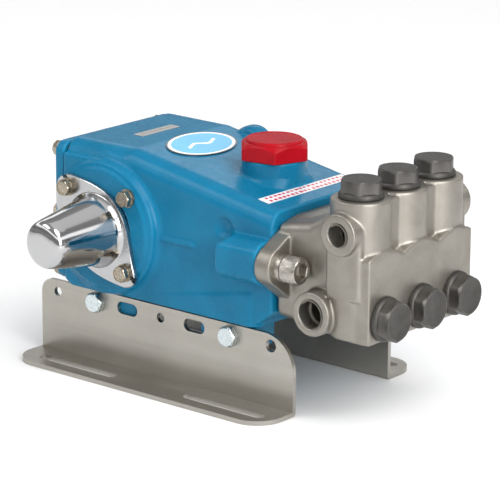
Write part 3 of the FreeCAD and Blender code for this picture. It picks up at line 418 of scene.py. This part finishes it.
def plug_steel():
    f = Finish("plug_steel", (0.105, 0.098, 0.09), 0.75, 0.46)
    grain = f.noise(1300, 4, 0.65)
    cloud = f.ramp(f.noise(120, 4, 0.6), 0.3, 0.7)
    base = f.mix(cloud, (0.062, 0.058, 0.054), (0.088, 0.083, 0.078))
    f.paint(f.mix(f.ramp(f.edges(0.52, 0.60), 0, 1, 0, 0.5), base, (0.26, 0.25, 0.235)))
    f.rough(f.ramp(grain, 0.3, 0.7, 0.38, 0.55))
    f.bump(grain, 0.04, 0.5)
    f.bump(f.noise(240, 2, 0.4), 0.05, 0.3)
    return f.material


def red_plastic():
    f = Finish("red_plastic", (0.40, 0.004, 0.012), 0.0, 0.34, Coat_Weight=0.04, Coat_Roughness=0.2)
    f.shader.inputs["Specular IOR Level"].default_value = 0.10
    tone = f.noise(60, 3, 0.5)
    f.paint(f.mix(f.ramp(tone, 0.35, 0.65), (0.33, 0.003, 0.009), (0.40, 0.004, 0.012)))
    f.rough(f.ramp(f.noise(500, 4, 0.6), 0.3, 0.7, 0.28, 0.42))
    f.bump(f.noise(1300, 2, 0.5), 0.015, 0.5)
    f.bump(f.noise(70, 2, 0.4), 0.06, 0.2)
    return f.material


def plain_rubber():
    f = Finish("black_rubber", (0.018, 0.018, 0.018), 0.0, 0.55)
    f.rough(f.ramp(f.noise(400, 3, 0.5), 0.3, 0.7, 0.45, 0.65))
    f.bump(f.noise(1500, 2, 0.5), 0.02, 0.5)
    return f.material


def soft_plastic(name, color, roughness):
    f = Finish(name, color, 0.0, roughness)
    f.rough(f.ramp(f.noise(500, 3, 0.5), 0.3, 0.7, roughness * 0.8, roughness * 1.2))
    f.bump(f.noise(1300, 2, 0.5), 0.012, 0.4)
    return f.material


def sight_glass():
    f = Finish("sight_glass", (0.85, 0.90, 0.88), 0.0, 0.04, Transmission_Weight=0.85, IOR=1.49)
    f.bump(f.noise(120, 2, 0.4), 0.02, 0.2)
    return f.material


def machined(name, color, roughness):
    f = Finish(name, color, 1.0, roughness)
    cuts = f.noise(1, 4, 0.6, at=f.stretched((900, 900, 40)))
    f.rough(f.ramp(cuts, 0.3, 0.7, roughness * 0.75, roughness * 1.3))
    f.bump(cuts, 0.01, 0.4)
    return f.material


FINISHES = {
    "blue_paint": blue_paint(),
    "gasket_paper": soft_plastic("gasket_paper", (0.06, 0.05, 0.045), 0.7),
    "yellow_zinc": plated("yellow_zinc", (0.46, 0.41, 0.33), (0.27, 0.235, 0.18), 0.26),
    "sight_glass": sight_glass(),
    "polished_steel": machined("polished_steel", (0.62, 0.62, 0.63), 0.14),
    "bearing_steel": machined("bearing_steel", (0.52, 0.52, 0.54), 0.18),
    "black_rubber": plain_rubber(),
    "chrome_cone": chrome_cone(),
    "cast_stainless": cast_stainless(),
    "stainless_screw": plated("stainless_screw", (0.50, 0.475, 0.43), (0.36, 0.335, 0.30), 0.30),
    "plug_steel": plug_steel(),
    "white_plastic": soft_plastic("white_plastic", (0.70, 0.70, 0.66), 0.4),
    "spring_steel": plated("spring_steel", (0.40, 0.40, 0.40), (0.30, 0.30, 0.30), 0.3),
    "packing": soft_plastic("packing", (0.05, 0.042, 0.035), 0.6),
    "brass_ring": machined("brass_ring", (0.65, 0.45, 0.18), 0.25),
    "rail_stainless": rail_stainless(),
    "clear_zinc": plated("clear_zinc", (0.66, 0.72, 0.73), (0.52, 0.58, 0.60), 0.24),
    "label_vinyl": soft_plastic("label_vinyl", (0.85, 0.84, 0.84), 0.3),
    "machined_steel": machined("machined_steel", (0.50, 0.50, 0.51), 0.24),
    "red_plastic": red_plastic(),
    "rod_alloy": machined("rod_alloy", (0.52, 0.52, 0.53), 0.4),
    "ceramic": soft_plastic("ceramic", (0.82, 0.80, 0.74), 0.18),
}
FLANGE_FINISH = satin_flange()


# ---------------------------------------------------------------- printed plates

def oval_badge_finish(center, half_x, half_y):
    """Sky blue field, white border, dark rim and a plain wave line across the middle."""
    f = Finish("badge", (0.10, 0.50, 0.80), 0.0, 0.22, Coat_Weight=0.2, Coat_Roughness=0.08)
    u = f.math("DIVIDE", f.math("SUBTRACT", f.axis("X"), center.x), half_x)
    v = f.math("DIVIDE", f.math("SUBTRACT", f.axis("Y"), center.y), half_y)
    reach = f.math("SQRT", f.math("ADD", f.math("MULTIPLY", u, u), f.math("MULTIPLY", v, v)))
    field = f.mix(f.ramp(f.noise(90, 2, 0.5), 0.3, 0.7), (0.03, 0.37, 0.66), (0.04, 0.41, 0.71))
    swell = f.math("MULTIPLY", f.math("SINE", f.math("MULTIPLY", v, 9.0)), 0.10)
    offset = f.math("ABSOLUTE", f.math("SUBTRACT", u, swell))
    inside = f.math("LESS_THAN", f.math("ABSOLUTE", v), 0.5)
    wave = f.math("MULTIPLY", f.math("LESS_THAN", offset, 0.07), inside)
    marked = f.mix(wave, field, (0.75, 0.82, 0.88))
    border = f.mix(f.math("GREATER_THAN", reach, 0.86), marked, (0.80, 0.82, 0.82))
    f.paint(f.mix(f.math("GREATER_THAN", reach, 0.955), border, (0.03, 0.035, 0.05)))
    f.bump(f.math("LESS_THAN", reach, 0.86), 0.08, 0.3)
    return f.material


def strip_finish(name, ground, ink, center, length, rows, cell, fill):
    """A strip with rows of plain dashes, which stand for printing without any text."""
    f = Finish(name, ground, 0.0, 0.3, Coat_Weight=0.3, Coat_Roughness=0.15)
    along = f.math("DIVIDE", f.axis("Y"), cell)
    block = f.math("FRACT", along)
    jitter = f.noise(1, 0, 0, at=f.stretched((1, 1 / cell / 1.7, 1)))
    dash = f.math("LESS_THAN", block, f.ramp(jitter, 0.3, 0.7, fill * 0.7, fill * 1.25))
    across = f.math("SUBTRACT", f.axis("X"), center.x)
    total = None
    for offset, half in rows:
        band = f.math("LESS_THAN", f.math("ABSOLUTE", f.math("SUBTRACT", across, offset)), half)
        total = band if total is None else f.math("MAXIMUM", total, band)
    limit = f.math("LESS_THAN", f.math("ABSOLUTE", f.axis("Y")), length)
    ink_mask = f.math("MULTIPLY", f.math("MULTIPLY", dash, total), limit)
    f.paint(f.mix(ink_mask, ground, ink))
    f.bump(f.noise(400, 2, 0.5), 0.01, 0.3)
    return f.material


# ---------------------------------------------------------------- castings

def castings():
    """Each casting with its finish, voxel size, smoothing rounds and share of faces kept."""
    for node, finish, voxel, rounds, keep_ratio in (
            ("crankcase", "blue_paint", 0.85, 12, 0.55),
            ("manifold", "cast_stainless", 0.8, 7, 0.6),
            ("rear_cover", "blue_paint", 0.9, 6, 0.6)):
        skin = cast_skin(node, node + "_casting", voxel, rounds, keep_ratio)
        stand_for(skin, "pump", finish, FINISHES[finish], node)


PORT_FACE = 62.0
THREAD_DEPTH = 11.2


def port_liner(name, x, z, side, radius, pitch):
    """Threaded wall of a side port: a sleeve with a thread profile and a chamfered mouth."""
    outside, crest, root = radius + 1.2, radius - 0.75, radius - 0.05
    points = [(outside, THREAD_DEPTH, 0), (crest, THREAD_DEPTH, 0)]
    turns = int((THREAD_DEPTH - 1.2) / pitch)
    for k in range(turns):
        deep = THREAD_DEPTH - k * pitch
        points.append((crest, deep - pitch * 0.15, 0))
        points.append((root, deep - pitch * 0.5, 0))
        points.append((crest, deep - pitch * 0.85, 0))
    points.append((radius + 0.3, 0.55, 0))
    points.append((radius + 0.9, 0.02, 0))
    points.append((outside, 0.05, 0))
    item = lathe(name, points, pump(x, side * PORT_FACE, z), Y * (-side), 96, 20.0)
    stand_for(item, "pump", "cast_stainless", FINISHES["cast_stainless"])


def port_threads():
    for label, side in (("near", -1), ("far", 1)):
        port_liner("inlet_thread_" + label, 178.0, -24.6, side, 9.6, 1.6)
        port_liner("outlet_thread_" + label, 198.6, 30.5, side, 7.6, 1.4)


# ---------------------------------------------------------------- shaft protector

FLANGE_THICK = 3.5
FLANGE_BORE = 21.4
FLANGE_EASE = 0.5
SCREW_OFFSET = 25.2
HOLE_CLEARANCE = 4.2
RIM_INSIDE = 23.0


def flange_outline(at):
    """Rim of the flange in turning order, taken from the side walls of its CAD solid."""
    mesh = frame["nodes"]["shaft_protector"].data
    rim = {}
    for wall in mesh.polygons:
        if abs(wall.normal.y) > 0.02:
            continue
        for index in wall.vertices:
            x, y, z = ((mesh.vertices[index].co[k] - at[k]) / MM for k in range(3))
            hole = min(math.hypot(x - s * SCREW_OFFSET, z + s * SCREW_OFFSET) for s in (-1, 1))
            on_face = abs(y + FLANGE_THICK) < 0.05
            if on_face and math.hypot(x, z) > RIM_INSIDE and hole > HOLE_CLEARANCE:
                rim[(round(x, 2), round(z, 2))] = math.atan2(z, x)
    return sorted(rim, key=rim.get)


def flange_ring(build, outline, scale_at, level):
    """One ring of vertices along the outline, scaled by its distance from the crank axis."""
    ring = []
    for x, z in outline:
        scale = scale_at(math.hypot(x, z))
        ring.append(build.verts.new((x * scale * MM, z * scale * MM, level * MM)))
    return ring


def protector_flange(at):
    """Flat flange with an eased rim, closed in a loop of rings around its section."""
    build = bmesh.new()
    outline = flange_outline(at)
    loops = []
    eased = FLANGE_THICK - FLANGE_EASE
    for inset, level in ((0.0, 0.0), (0.0, eased), (FLANGE_EASE, FLANGE_THICK)):
        loops.append(flange_ring(build, outline, lambda reach: 1 - inset / reach, level))
    for level in (FLANGE_THICK, 0.0):
        loops.append(flange_ring(build, outline, lambda reach: FLANGE_BORE / reach, level))
    loops.append(loops[0])
    count = len(outline)
    for a, b in zip(loops, loops[1:]):
        for i in range(count):
            j = (i + 1) % count
            build.faces.new((a[i], a[j], b[j], b[i]))
    bmesh.ops.recalc_face_normals(build, faces=build.faces)
    mesh = bpy.data.meshes.new("protector_flange")
    build.to_mesh(mesh)
    build.free()
    mesh.transform(turn_to(at, -Y))
    flange = shade(new_object("protector_flange", mesh), 30.0)
    stand_for(flange, "pump", "chrome_cone", FLANGE_FINISH, "shaft_protector")


def shaft_protector():
    """Polished cone with a hollow back, and the flange that holds it to the crankcase."""
    at = Vector((CRANK.x, corners("shaft_protector")[1].y, CRANK.z))
    cone = lathe("protector_cone", [
        (14.0, 0.1), (21.3, 0.1, 0.2), (13.9, 50.5, 2.0), (0.0, 51.5, 0), (0.0, 55.75, 0),
        (8.5, 55.75, 5.0), (15.2, 53.4, 4.5), (17.0, 47.0, 3.0), (23.4, 7.0, 2.0),
        (25.3, 3.6, 2.5), (27.0, 3.4, 0.3), (27.0, 3.0, 0)], at, -Y, 160, 60.0)
    stand_for(cone, "pump", "chrome_cone", FINISHES["chrome_cone"], "shaft_protector")
    protector_flange(at)


# ---------------------------------------------------------------- fasteners

def shank(name, length, tip_radius, radius, top, at, way, segments):
    """Plain screw shank with a chamfered tip, from under the head down by its length."""
    return lathe(name, [(0.0, -length, 0), (tip_radius, -length, 0), (radius, -length + 1.0, 0),
                        (radius, top, 0), (0.0, top, 0)], at, way, segments)


SCREW_FLATS = 10.0
COLLAR = 0.9


def hex_screws(node, head, way):
    """Replace each screw of a node by one with a turned-off, slightly dished head on a collar."""
    name = node + "_worn"
    axis = [abs(c) for c in way].index(1.0)
    made = []
    for number, (center, low, high) in enumerate(islands(node), start=1):
        tip = high[axis] if way[axis] > 0 else low[axis]
        tail = low[axis] if way[axis] > 0 else high[axis]
        at = center.copy()
        at[axis] = tip - way[axis] * head * MM
        length = abs(at[axis] - tail) / MM
        made.append(hex_head("%s_head_%d" % (name, number), SCREW_FLATS, head, at, way,
                             0.26 + number * 0.37, dish=0.35))
        made.append(shank("%s_shank_%d" % (name, number), length, 2.0, 2.85, 0.4, at, way, 24))
        made.append(lathe("%s_collar_%d" % (name, number), [
            (SCREW_FLATS * 0.3, 0.02, 0), (SCREW_FLATS * 0.56, 0.02, 0.2),
            (SCREW_FLATS * 0.56, COLLAR, 0.3), (SCREW_FLATS * 0.45, COLLAR + 0.1, 0)], at, way, 48))
    stand_for(joined(name, made), "pump", "yellow_zinc", FINISHES["yellow_zinc"], node)


RAIL_BOLT_FLATS = 13.0
RAIL_BOLT_HEAD = 5.6


def rail_bolts():
    made = []
    for number, (center, low, high) in enumerate(islands("rail_bolts"), start=1):
        side = 1 if center.y > 0 else -1
        tip = high.y if side > 0 else low.y
        tail = low.y if side > 0 else high.y
        at = Vector((center.x, tip - side * RAIL_BOLT_HEAD * MM, center.z))
        length = abs(at.y - tail) / MM
        made.append(hex_head("rail_head_%d" % number, RAIL_BOLT_FLATS, RAIL_BOLT_HEAD, at, Y * side,
                             0.2 + number * 0.5, crown=0.44, chamfer=34.0))
        made.append(shank("rail_shank_%d" % number, length, 3.0, 3.9, 0.4, at, Y * side, 32))
    stand_for(joined("rail_bolts_worn", made), "pump", "clear_zinc", FINISHES["clear_zinc"],
              "rail_bolts")


def knurled_screw(number, center, low, high):
    """M12 socket head screw with a knurled rim and a hexagon socket."""
    head, radius, socket_flats, ridges, ridge_depth = 12.0, 9.0, 10.0, 30, 0.16
    at = Vector((high.x - head * MM, center.y, center.z))
    segments = 180
    rings = []
    socket = socket_flats / math.sqrt(3)
    for kind in range(11):
        ring = []
        for i in range(segments):
            theta = 2 * math.pi * i / segments
            ridge = ridge_depth * abs(math.sin(theta * ridges)) - ridge_depth
            inner = hex_radius(theta, socket_flats, socket)
            r, z = {0: (0.01, 0.0), 1: (radius - 0.5, 0.0), 2: (radius + ridge, 0.5),
                    3: (radius + ridge, 10.2), 4: (radius - 0.35, 10.7), 5: (radius - 0.5, 11.2),
                    6: (radius - 1.1, head), 7: (inner + 0.5, head), 8: (inner, 11.5),
                    9: (inner, 5.6), 10: (0.01, 5.0)}[kind]
            ring.append((r * math.cos(theta) * MM, r * math.sin(theta) * MM, z * MM))
        rings.append(ring)
    mesh = ring_mesh("screw_head_%d" % number, rings, True, True)
    mesh.transform(turn_to(at, X, 0.3 * number))
    stem = shank("screw_shank_%d" % number, (at.x - low.x) / MM, 5.0, 5.85, 0.3, at, X, 40)
    return [shade(new_object("screw_head_%d" % number, mesh), 30.0), stem]


def manifold_screws():
    made = []
    for number, (center, low, high) in enumerate(islands("manifold_screws"), start=1):
        made += knurled_screw(number, center, low, high)
    stand_for(joined("manifold_screws_knurled", made), "pump", "stainless_screw",
              FINISHES["stainless_screw"], "manifold_screws")


PLUG_HEAD = 12.0
PLUG_FLATS = 24.5


def valve_plugs(node, direction):
    """Forged plugs: hexagon with softened corners on a round flange."""
    axis = [abs(c) for c in direction].index(1.0)
    made = []
    for number, (center, _, high) in enumerate(islands(node), start=1):
        at = center.copy()
        at[axis] = high[axis] - PLUG_HEAD * MM
        made.append(hex_head("plug_hex_%d" % number, PLUG_FLATS, PLUG_HEAD, at, direction,
                             math.pi / 6, crown=0.485, chamfer=38.0, wear=0.965, base=3.0,
                             dish=0.15))
        made.append(lathe("plug_flange_%d" % number, [
            (0.0, -10.0, 0), (8.0, -10.0, 0), (11.0, -9.0, 0.5), (11.85, -7.5, 0.5),
            (11.85, 0.02, 0), (13.8, 0.02, 0.3), (14.55, 0.5, 0.5), (14.55, 2.3, 0.9),
            (13.3, 4.0, 1.0), (11.0, 4.3, 0)], at, direction, 96, 30.0))
    name = node.replace("_valve_plugs", "_plugs_forged")
    stand_for(joined(name, made), "pump", "plug_steel", FINISHES["plug_steel"], node)


# ---------------------------------------------------------------- filler cap

CAP_HEIGHT = 13.0
CAP_FLATS = 43.0
CAP_SPIN = math.radians(40.0)


def filler_cap():
    """Moulded cap: hexagon with a raised disc on top and a hollow skirt below."""
    center = middle("filler_cap")
    base = Vector((center.x, center.y, corners("filler_cap")[1].z - CAP_HEIGHT * MM))
    head = hex_head("cap_hexagon", CAP_FLATS, 11.0, base, Z, CAP_SPIN, crown=0.475, chamfer=38.0,
                    wear=0.985, segments=216)
    disc = lathe("cap_disc", [
        (0.0, 10.0, 0), (19.6, 10.0, 0), (18.8, 12.4, 0.8), (17.4, 12.95, 0.6), (16.2, 12.3, 0.6),
        (6.0, 12.15, 1.0), (0.0, 12.15, 0)], base, Z, 120)
    skirt = lathe("cap_skirt", [(13.6, -8.9, 0), (16.9, -8.9, 0.4), (16.9, 0.6, 0), (13.6, 0.6, 0),
                                (13.6, -8.9, 0)], base, Z, 96)
    stand_for(joined("filler_cap_moulded", [head, disc, skirt]), "oil_cap", "red_plastic",
              FINISHES["red_plastic"], "filler_cap")


# ---------------------------------------------------------------- plates on the top

def thin_plate(node, name, slot_name, material):
    """A thin plate with rounded rims, following the slope of its CAD solid."""
    mesh = frame["nodes"][node].data
    item = new_object(name, mesh.copy())
    item.data.materials.clear()
    apply(item, "BEVEL", width=0.12 * MM, segments=2, limit_method="ANGLE",
          angle_limit=math.radians(50))
    shade(item, 40.0)
    stand_for(item, "pump", slot_name, material, node)


def plates():
    center = middle("badge_plate")
    low, high = corners("badge_plate")
    oval = oval_badge_finish(center, (high.x - low.x) / 2, (high.y - low.y) / 2)
    thin_plate("badge_plate", "badge_oval", "badge", oval)
    center = middle("caution_label")
    label = strip_finish("caution_print", (0.86, 0.85, 0.85), (0.60, 0.02, 0.05), center,
                         0.040, ((-0.0020, 0.0010), (0.0021, 0.0012)), 0.0043, 0.62)
    thin_plate("caution_label", "caution_strip", "label_vinyl", label)
    center = middle("serial_plate")
    serial = strip_finish("serial_print", (0.62, 0.61, 0.58), (0.22, 0.20, 0.18), center,
                          0.0165, ((0.0, 0.0014),), 0.0026, 0.45)
    serial.node_tree.nodes["Principled BSDF"].inputs["Metallic"].default_value = 0.6
    thin_plate("serial_plate", "serial_strip", "serial_plate", serial)


# ---------------------------------------------------------------- CAD nodes kept as they are

KEPT_ROUNDING = {"near_rail": 0.45, "far_rail": 0.45, "bearing_case": 0.5}


def kept_nodes():
    """Finish every CAD node that is still shown, with soft edges where they are seen."""
    record = frame["record"]
    slots = {entry["node"]: entry["material_slot"] for entry in record["subparts"]}
    for node, item in frame["nodes"].items():
        finish = FINISHES.get(slots[node])
        if finish is None:
            continue
        for holder in item.material_slots:
            holder.material = finish
        if not item.material_slots:
            continue
        width = KEPT_ROUNDING.get(node, 0.0)
        if width:
            bevel = item.modifiers.new("soft_edge", "BEVEL")
            bevel.width = width * MM
            bevel.segments = 2
            bevel.limit_method = "ANGLE"
            bevel.angle_limit = math.radians(40)
            bevel.harden_normals = True


# ---------------------------------------------------------------- floor, light and camera

def studio_material(name, color, roughness):
    material = bpy.data.materials.new(name)
    material.use_nodes = True
    shader = material.node_tree.nodes["Principled BSDF"]
    shader.inputs["Base Color"].default_value = (*color, 1.0)
    shader.inputs["Roughness"].default_value = roughness
    return material


FLOOR_GAP = 0.0002


def floor():
    """A white sheet just under the rails."""
    mesh = bpy.data.meshes.new("floor")
    reach = 6.0
    sheet = [(-reach, -reach, 0), (reach, -reach, 0), (reach, reach, 0), (-reach, reach, 0)]
    mesh.from_pydata(sheet, [], [(0, 1, 2, 3)])
    item = new_object("floor", mesh)
    item.location.z = corners("near_rail")[0].z - FLOOR_GAP
    mesh.materials.append(studio_material("paper", (0.93, 0.93, 0.93), 0.75))


def area_light(name, at, aim, width, depth, power):
    data = bpy.data.lights.new(name, "AREA")
    data.shape = "RECTANGLE"
    data.size = width
    data.size_y = depth
    data.energy = power
    item = bpy.data.objects.new(name, data)
    bpy.context.scene.collection.objects.link(item)
    item.location = at
    item.rotation_euler = (Vector(aim) - Vector(at)).to_track_quat("-Z", "Y").to_euler()


def lights():
    aim = (0.0, 0.0, 0.10)
    area_light("key", (-0.55, -0.75, 1.15), aim, 0.7, 0.5, 4)
    area_light("top", (0.15, 0.35, 1.5), aim, 1.4, 1.0, 2)
    area_light("side", (1.3, -0.5, 0.55), aim, 0.6, 0.8, 12)
    data = bpy.data.lights.new("ceiling", "SUN")
    data.energy = 1.45
    data.angle = math.radians(35.0)
    ceiling = bpy.data.objects.new("ceiling", data)
    bpy.context.scene.collection.objects.link(ceiling)
    ceiling.rotation_euler = (math.radians(8.0), math.radians(34.0), 0.0)
    world = bpy.data.worlds.new("studio")
    bpy.context.scene.world = world
    world.use_nodes = True
    nodes, links = world.node_tree.nodes, world.node_tree.links
    background = nodes["Background"]
    background.inputs["Strength"].default_value = 1.0
    place = nodes.new("ShaderNodeTexCoord")
    split = nodes.new("ShaderNodeSeparateXYZ")
    ramp = nodes.new("ShaderNodeValToRGB")
    links.new(place.outputs["Generated"], split.inputs["Vector"])
    links.new(split.outputs["Z"], ramp.inputs["Fac"])
    stops = ramp.color_ramp.elements
    for number, (height, level) in enumerate(((0.0, 0.25), (0.10, 0.40), (0.16, 0.25), (0.33, 0.25),
                                              (0.39, 1.8), (0.50, 1.8), (0.57, 0.30), (0.72, 0.35),
                                              (1.0, 0.5))):
        stop = stops[number] if number < 2 else stops.new(height)
        stop.position = height
        stop.color = (level, level, level, 1)
    links.new(ramp.outputs["Color"], background.inputs["Color"])


CAMERA_LENS = 203.8
CAMERA_ANGLES = (39.65, 15.71, 0.35)
CAMERA_PLACE = (1235.25, -1395.16, 496.65)


def camera():
    """The photograph's view: azimuth, elevation and roll in degrees, place in pump axes."""
    data = bpy.data.cameras.new("camera")
    data.sensor_width = 36.0
    data.lens = CAMERA_LENS
    data.clip_end = 20.0
    item = bpy.data.objects.new("camera", data)
    bpy.context.scene.collection.objects.link(item)
    azimuth, elevation, roll = (math.radians(a) for a in CAMERA_ANGLES)
    back = Vector((math.sin(azimuth) * math.cos(elevation),
                   -math.cos(azimuth) * math.cos(elevation), math.sin(elevation)))
    right = Vector((math.cos(azimuth), math.sin(azimuth), 0.0))
    up = back.cross(right)
    turned_right = right * math.cos(roll) + up * math.sin(roll)
    turned_up = up * math.cos(roll) - right * math.sin(roll)
    matrix = Matrix.Identity(4)
    for column, vector in enumerate((turned_right, turned_up, back, pump(*CAMERA_PLACE))):
        for row_number in range(3):
            matrix[row_number][column] = vector[row_number]
    item.matrix_world = matrix
    bpy.context.scene.camera = item


castings()
port_threads()
shaft_protector()
hex_screws("protector_screws", 5.0, -Y)
hex_screws("bearing_case_screws", 5.0, Y)
hex_screws("rear_cover_screws", 4.5, -X)
rail_bolts()
manifold_screws()
valve_plugs("discharge_valve_plugs", Z)
valve_plugs("inlet_valve_plugs", X)
filler_cap()
plates()
kept_nodes()
floor()
lights()
camera()
bpy.context.scene.view_settings.view_transform = "Standard"
